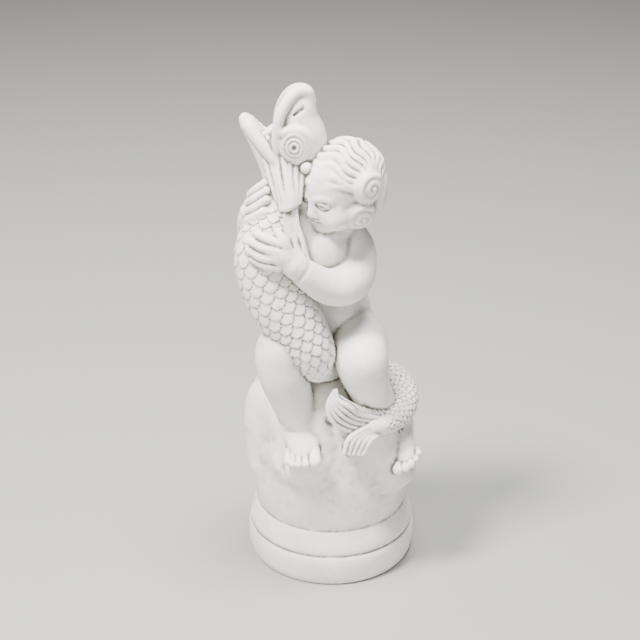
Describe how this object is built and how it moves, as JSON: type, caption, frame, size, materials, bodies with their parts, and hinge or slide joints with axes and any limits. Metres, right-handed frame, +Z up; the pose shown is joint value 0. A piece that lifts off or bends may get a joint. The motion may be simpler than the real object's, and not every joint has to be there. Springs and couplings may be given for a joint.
{
  "type": "garden statue",
  "caption": "Cast-stone garden statue of a seated child who hugs a large scaled fish, on a rock above a round moulded plinth.",
  "frame": {"origin": "centre of the flat underside, on the turned plinth's axis", "axes": "+Z up along the plinth's axis; the statue faces -Y, and the fish is on the -X side"},
  "size_m": [0.1819, 0.1835, 0.5039],
  "materials": {
    "cast_stone": "matt"
  },
  "bodies": {
    "root": {"child_statue": "cast_stone"}
  },
  "joints": []
}
